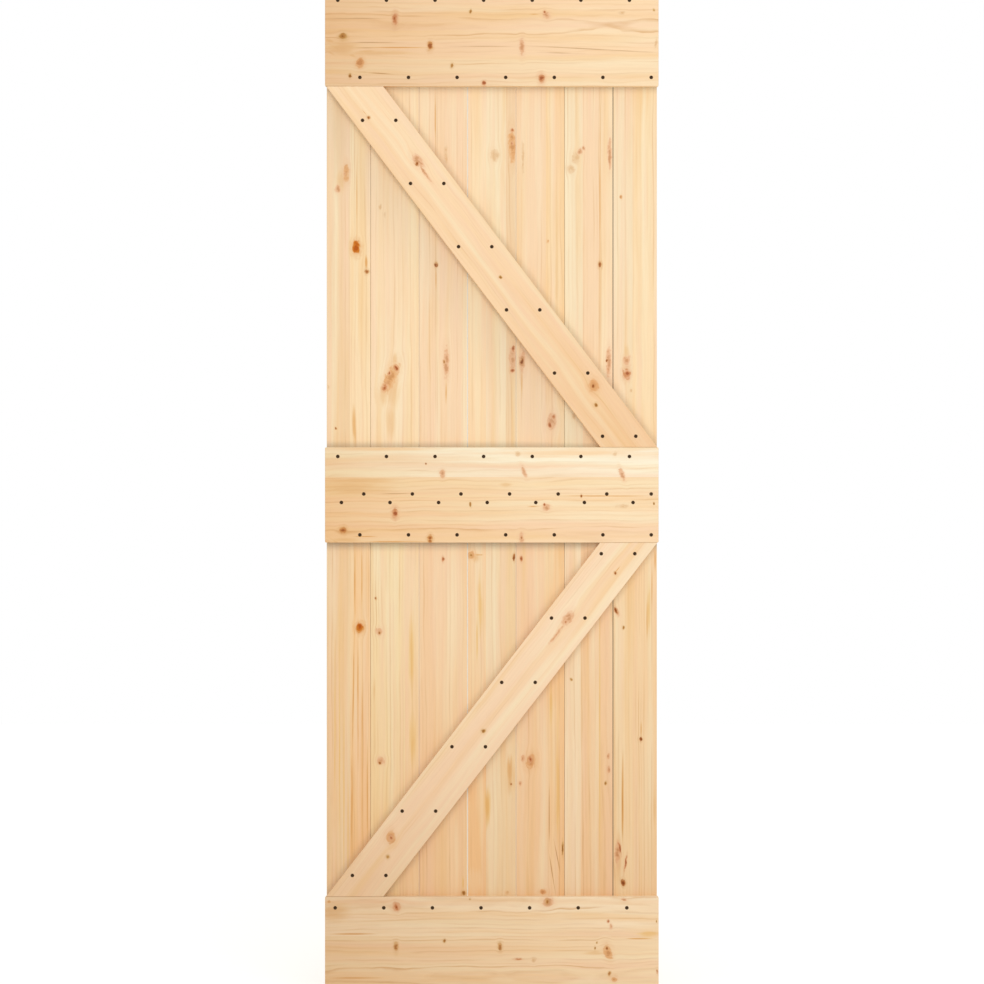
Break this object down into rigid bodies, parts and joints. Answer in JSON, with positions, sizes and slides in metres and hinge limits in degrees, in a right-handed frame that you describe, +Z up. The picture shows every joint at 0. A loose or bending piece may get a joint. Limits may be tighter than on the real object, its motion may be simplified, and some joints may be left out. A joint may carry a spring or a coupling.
{
  "type": "sliding barn door slab",
  "caption": "Tall plank door slab: tongue-and-groove pine boards held by flat cross rails and diagonal braces, to hang by its top rail from an overhead sliding track.",
  "frame": {"origin": "centre of the top rail's front face, where the hangers of the track bolt on", "axes": "+X to the right seen from the front, +Y from the front (rails and braces) to the back (boards), +Z up"},
  "size_m": [0.711, 0.035, 2.134],
  "materials": {
    "pine_boards": "planed knotty pine, sanded, bare",
    "pine_rails": "planed knotty pine, sanded, bare",
    "pine_braces": "planed knotty pine, sanded, bare",
    "screw_heads": "dark phosphate coat on steel"
  },
  "bodies": {
    "root": {"top_rail": "pine_rails", "middle_rail": "pine_rails", "bottom_rail": "pine_rails", "upper_brace": "pine_braces", "lower_brace": "pine_braces", "upper_board_1": "pine_boards", "upper_board_2": "pine_boards", "upper_board_3": "pine_boards", "upper_board_4": "pine_boards", "upper_board_5": "pine_boards", "upper_board_6": "pine_boards", "upper_board_7": "pine_boards", "lower_board_1": "pine_boards", "lower_board_2": "pine_boards", "lower_board_3": "pine_boards", "lower_board_4": "pine_boards", "lower_board_5": "pine_boards", "lower_board_6": "pine_boards", "lower_board_7": "pine_boards"}
  },
  "joints": []
}
